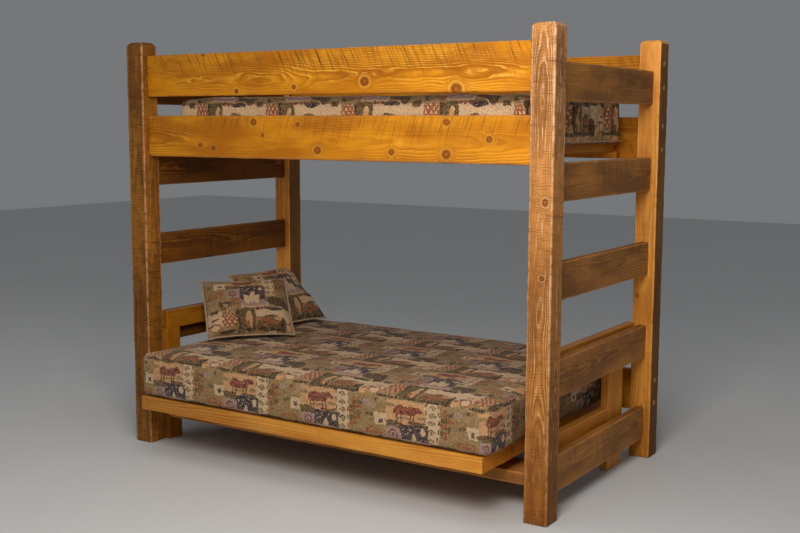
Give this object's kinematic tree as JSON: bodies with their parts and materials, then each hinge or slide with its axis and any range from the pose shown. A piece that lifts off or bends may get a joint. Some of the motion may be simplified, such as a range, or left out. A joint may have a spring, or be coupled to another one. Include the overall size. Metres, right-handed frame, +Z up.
{
  "type": "bunk bed",
  "caption": "Timber bunk bed whose ladder ends join four square posts, with guard rails, an upper mattress and a folding futon bed below.",
  "frame": {"origin": "middle of the whole footprint on the floor, the futon's overhang in front of the posts included", "axes": "+X along the bed to the right seen from the front, +Y towards the rear, +Z up"},
  "size_m": [2.236, 1.38, 1.936],
  "materials": {
    "post_wood": "rough sawn, medium brown stain",
    "rung_wood": "rough sawn, dark brown stain",
    "rail_wood": "rough sawn, honey stain",
    "planed_pine": "planed, golden stain",
    "plug_wood": "end grain, honey stain",
    "steel": "zinc plated",
    "tapestry": "woven patchwork tapestry"
  },
  "bodies": {
    "bunk": {"arm_front_leg_left": "planed_pine", "arm_front_leg_right": "planed_pine", "arm_lower_rail_left": "planed_pine", "arm_lower_rail_right": "planed_pine", "arm_rear_leg_left": "planed_pine", "arm_rear_leg_right": "planed_pine", "arm_top_rail_left": "planed_pine", "arm_top_rail_right": "planed_pine", "barrel_nuts": "steel", "bolt_plugs": "plug_wood", "cleat_screws": "steel", "futon_stretcher_front": "rung_wood", "futon_stretcher_rear": "planed_pine", "guard_rail_front": "rail_wood", "guard_rail_rear": "rail_wood", "ladder_rung_left_1": "rung_wood", "ladder_rung_left_2": "rung_wood", "ladder_rung_left_3": "rung_wood", "ladder_rung_left_4": "rung_wood", "ladder_rung_left_5": "rung_wood", "ladder_rung_right_1": "rung_wood", "ladder_rung_right_2": "rung_wood", "ladder_rung_right_3": "rung_wood", "ladder_rung_right_4": "rung_wood", "ladder_rung_right_5": "rung_wood", "lower_rail_rear": "rail_wood", "post_front_left": "post_wood", "post_front_right": "post_wood", "post_rear_left": "post_wood", "post_rear_right": "post_wood", "rail_bolts": "steel", "side_rail_front": "rail_wood", "side_rail_rear": "rail_wood", "slat_cleat_front": "planed_pine", "slat_cleat_rear": "planed_pine", "slat_screws": "steel", "stretcher_bolts": "steel", "upper_slats": "planed_pine"},
    "futon_seat": {"seat_front_rail": "planed_pine", "seat_rear_rail": "planed_pine", "seat_side_rail_left": "planed_pine", "seat_side_rail_right": "planed_pine", "seat_slats": "planed_pine", "seat_guide_pegs": "planed_pine", "hinge_leaves_seat": "steel", "hinge_pins": "steel", "mattress_seat_half": "tapestry"},
    "futon_back": {"back_fold_rail": "planed_pine", "back_top_rail": "planed_pine", "back_side_rail_left": "planed_pine", "back_side_rail_right": "planed_pine", "back_slats": "planed_pine", "hinge_leaves_back": "steel", "mattress_back_half": "tapestry"},
    "front_pillow": {"pillow_front": "tapestry"},
    "rear_pillow": {"pillow_rear": "tapestry"},
    "upper_mattress": {"mattress_upper": "tapestry"}
  },
  "joints": [
    {"name": "back_fold", "type": "hinge", "parent": "futon_seat", "child": "futon_back", "pos_m": [0, -0.043, 0.284], "axis": [1, 0, 0], "range_deg": [0, 68]},
    {"name": "seat_slide", "type": "slide", "parent": "bunk", "child": "futon_seat", "axis": [0, 1, 0], "range_m": [0, 0.1305]},
    {"name": "pillow_shift", "type": "slide", "parent": "futon_seat", "child": "front_pillow", "axis": [0.722, -0.6919, 0], "range_m": [0, 0.5205]},
    {"name": "rear_pillow_shift", "type": "slide", "parent": "futon_back", "child": "rear_pillow", "axis": [0.38, 0.925, 0], "range_m": [0, 0.1305]},
    {"name": "mattress_lift", "type": "slide", "parent": "bunk", "child": "upper_mattress", "axis": [0, 0, 1], "range_m": [0, 0.25]}
  ],
  "couplings": [
    {"joint": "seat_slide", "follows": "back_fold", "m_per_rad": 0.10954},
    {"joint": "pillow_shift", "follows": "back_fold", "m_per_rad": 0.43814},
    {"joint": "rear_pillow_shift", "follows": "back_fold", "m_per_rad": 0.10954}
  ]
}
